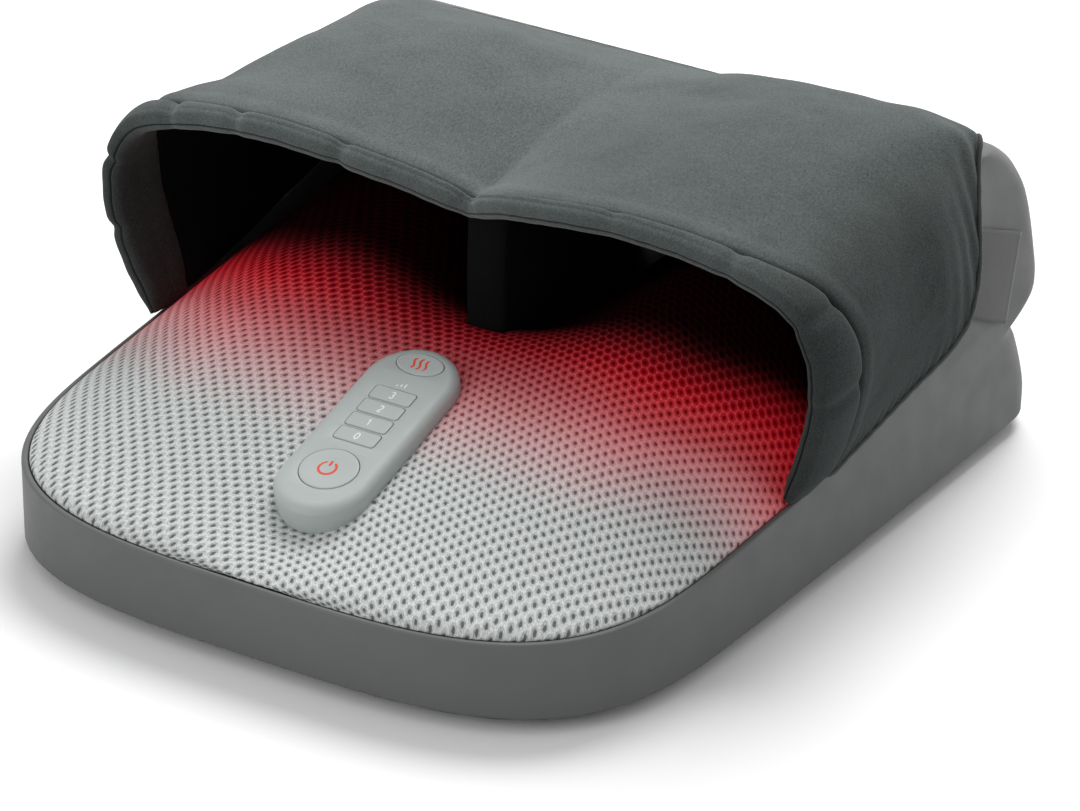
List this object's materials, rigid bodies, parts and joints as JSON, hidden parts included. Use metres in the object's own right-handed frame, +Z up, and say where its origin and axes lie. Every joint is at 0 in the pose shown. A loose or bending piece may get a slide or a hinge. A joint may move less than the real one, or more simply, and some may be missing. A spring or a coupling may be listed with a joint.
{
  "type": "foot massager",
  "caption": "Foot massager with a mesh foot bed over geared kneading heads, a fabric hood over two foot chambers, and a control panel between the feet.",
  "frame": {"origin": "middle of the footprint, on the table", "axes": "+X to the right as the sitter sees it, +Y to the toes, +Z up"},
  "size_m": [0.4032, 0.43, 0.19],
  "materials": {
    "shell": "fine matte texture",
    "inner": "plain",
    "panel": "satin",
    "mesh": "spacer mesh",
    "velour": "short pile",
    "lining": "padded lining",
    "label": "woven",
    "acetal": "plain",
    "rubber": "matte",
    "steel": "plain",
    "brass": "machined",
    "board": "solder mask",
    "heater": "film",
    "air_film": "welded film"
  },
  "bodies": {
    "housing": {"base_shell": "shell", "bottom_plate": "shell", "hood_frame": "inner", "panel_stand": "inner", "toe_wall": "inner", "gearbox_base_right": "inner", "gearbox_cover_right": "inner", "gearbox_base_left": "inner", "gearbox_cover_left": "inner", "air_pump": "inner", "panel_case": "panel", "mesh_cover": "mesh", "hood_cover": "velour", "hood_hem": "velour", "centre_divider": "lining", "hood_label": "label", "air_valve": "acetal", "foot_front_right": "rubber", "foot_front_left": "rubber", "foot_rear_right": "rubber", "foot_rear_left": "rubber", "air_hose_right": "rubber", "air_hose_left": "rubber", "screw_front_right": "steel", "screw_front_left": "steel", "screw_rear_right": "steel", "screw_rear_left": "steel", "motor_right": "steel", "motor_left": "steel", "power_inlet": "steel", "panel_board": "board", "main_board": "board", "heater_right": "heater", "heater_left": "heater", "air_bag_right": "air_film", "air_bag_left": "air_film"},
    "power_button": {"power_button": "panel"},
    "heat_button": {"heat_button": "panel"},
    "level_key_0": {"level_key_0": "panel"},
    "level_key_1": {"level_key_1": "panel"},
    "level_key_2": {"level_key_2": "panel"},
    "level_key_3": {"level_key_3": "panel"},
    "train_right_middle": {"drive_gear_right_middle": "acetal", "massage_head_right_middle": "acetal"},
    "train_right_front": {"drive_gear_right_front": "acetal", "massage_head_right_front": "acetal"},
    "train_right_rear": {"drive_gear_right_rear": "acetal", "massage_head_right_rear": "acetal"},
    "worm_right": {"worm_right": "brass"},
    "train_left_middle": {"drive_gear_left_middle": "acetal", "massage_head_left_middle": "acetal"},
    "train_left_front": {"drive_gear_left_front": "acetal", "massage_head_left_front": "acetal"},
    "train_left_rear": {"drive_gear_left_rear": "acetal", "massage_head_left_rear": "acetal"},
    "worm_left": {"worm_left": "brass"}
  },
  "joints": [
    {"name": "power_button_press", "type": "slide", "parent": "housing", "child": "power_button", "axis": [0, 0.2588, -0.9659], "range_m": [0, 0.001], "stiffness_N_per_m": 250, "springref_m": -0.0008},
    {"name": "heat_button_press", "type": "slide", "parent": "housing", "child": "heat_button", "axis": [0, 0.2588, -0.9659], "range_m": [0, 0.001], "stiffness_N_per_m": 250, "springref_m": -0.0008},
    {"name": "level_key_0_press", "type": "slide", "parent": "housing", "child": "level_key_0", "axis": [0, 0.2588, -0.9659], "range_m": [0, 0.001], "stiffness_N_per_m": 250, "springref_m": -0.0008},
    {"name": "level_key_1_press", "type": "slide", "parent": "housing", "child": "level_key_1", "axis": [0, 0.2588, -0.9659], "range_m": [0, 0.001], "stiffness_N_per_m": 250, "springref_m": -0.0008},
    {"name": "level_key_2_press", "type": "slide", "parent": "housing", "child": "level_key_2", "axis": [0, 0.2588, -0.9659], "range_m": [0, 0.001], "stiffness_N_per_m": 250, "springref_m": -0.0008},
    {"name": "level_key_3_press", "type": "slide", "parent": "housing", "child": "level_key_3", "axis": [0, 0.2588, -0.9659], "range_m": [0, 0.001], "stiffness_N_per_m": 250, "springref_m": -0.0008},
    {"name": "train_right_middle_spin", "type": "hinge", "parent": "housing", "child": "train_right_middle", "pos_m": [0.087, -0.01, 0.0556], "axis": [0, -0.1392, 0.9903], "continuous": true},
    {"name": "train_right_front_spin", "type": "hinge", "parent": "housing", "child": "train_right_front", "pos_m": [0.087, -0.06942, 0.04725], "axis": [0, -0.1392, 0.9903], "continuous": true},
    {"name": "train_right_rear_spin", "type": "hinge", "parent": "housing", "child": "train_right_rear", "pos_m": [0.087, 0.04942, 0.06395], "axis": [0, -0.1392, 0.9903], "continuous": true},
    {"name": "worm_right_spin", "type": "hinge", "parent": "housing", "child": "worm_right", "pos_m": [0.125, -0.06942, 0.04725], "axis": [0, 0.9466, 0.3224], "continuous": true},
    {"name": "train_left_middle_spin", "type": "hinge", "parent": "housing", "child": "train_left_middle", "pos_m": [-0.087, -0.01, 0.0556], "axis": [0, -0.1392, 0.9903], "continuous": true},
    {"name": "train_left_front_spin", "type": "hinge", "parent": "housing", "child": "train_left_front", "pos_m": [-0.087, -0.06942, 0.04725], "axis": [0, -0.1392, 0.9903], "continuous": true},
    {"name": "train_left_rear_spin", "type": "hinge", "parent": "housing", "child": "train_left_rear", "pos_m": [-0.087, 0.04942, 0.06395], "axis": [0, -0.1392, 0.9903], "continuous": true},
    {"name": "worm_left_spin", "type": "hinge", "parent": "housing", "child": "worm_left", "pos_m": [-0.125, -0.06942, 0.04725], "axis": [0, 0.9466, 0.3224], "continuous": true}
  ],
  "couplings": [
    {"joint": "train_right_front_spin", "follows": "train_right_middle_spin", "ratio": -1},
    {"joint": "train_right_rear_spin", "follows": "train_right_middle_spin", "ratio": -1},
    {"joint": "worm_right_spin", "follows": "train_right_middle_spin", "ratio": 20},
    {"joint": "train_left_front_spin", "follows": "train_left_middle_spin", "ratio": -1},
    {"joint": "train_left_rear_spin", "follows": "train_left_middle_spin", "ratio": -1},
    {"joint": "worm_left_spin", "follows": "train_left_middle_spin", "ratio": 20}
  ]
}
